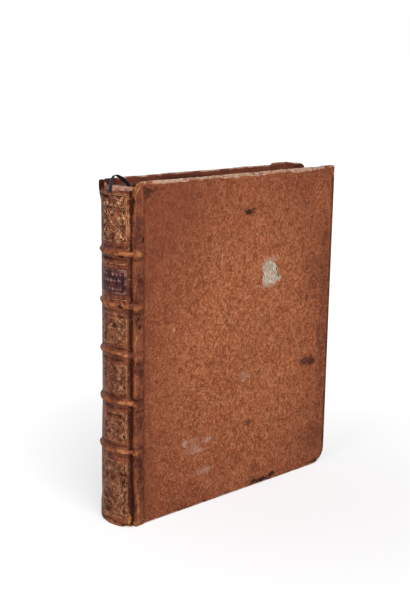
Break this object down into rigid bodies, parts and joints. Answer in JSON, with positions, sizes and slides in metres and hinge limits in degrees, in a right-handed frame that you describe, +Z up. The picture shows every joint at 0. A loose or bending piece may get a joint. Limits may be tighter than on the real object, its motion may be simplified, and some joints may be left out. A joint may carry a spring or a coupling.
{
  "type": "atlas",
  "caption": "Quarter-leather atlas with raised bands, a spine label and sponged paper sides, standing on its tail; both covers open.",
  "frame": {"origin": "middle of the part's box at floor level, under the tail edges of the boards", "axes": "+Z up along the spine, -X towards the spine, -Y towards the front cover"},
  "size_m": [0.2676, 0.0476, 0.317],
  "materials": {
    "leaves": "matte",
    "leather": "satin",
    "label": "satin",
    "cord": "matte",
    "endband": "matte",
    "ribbon": "satin",
    "pasteboard": "matte",
    "side_paper": "satin",
    "pastedown": "matte"
  },
  "bodies": {
    "block": {"text_block": "leaves", "spine_leather": "leather", "title_label": "label", "sewing_cord_1": "cord", "sewing_cord_2": "cord", "sewing_cord_3": "cord", "sewing_cord_4": "cord", "sewing_cord_5": "cord", "head_endband": "endband", "tail_endband": "endband", "ribbon_marker": "ribbon"},
    "front_cover": {"front_board": "pasteboard", "front_side_paper": "side_paper", "front_leather": "leather", "front_pastedown": "pastedown"},
    "back_cover": {"back_board": "pasteboard", "back_side_paper": "side_paper", "back_leather": "leather", "back_pastedown": "pastedown"}
  },
  "joints": [
    {"name": "front_hinge", "type": "hinge", "parent": "block", "child": "front_cover", "pos_m": [-0.12015, -0.02205, 0.155], "axis": [0, 0, -1], "range_deg": [0, 150]},
    {"name": "back_hinge", "type": "hinge", "parent": "block", "child": "back_cover", "pos_m": [-0.12015, 0.02205, 0.155], "axis": [0, 0, 1], "range_deg": [0, 150]}
  ]
}
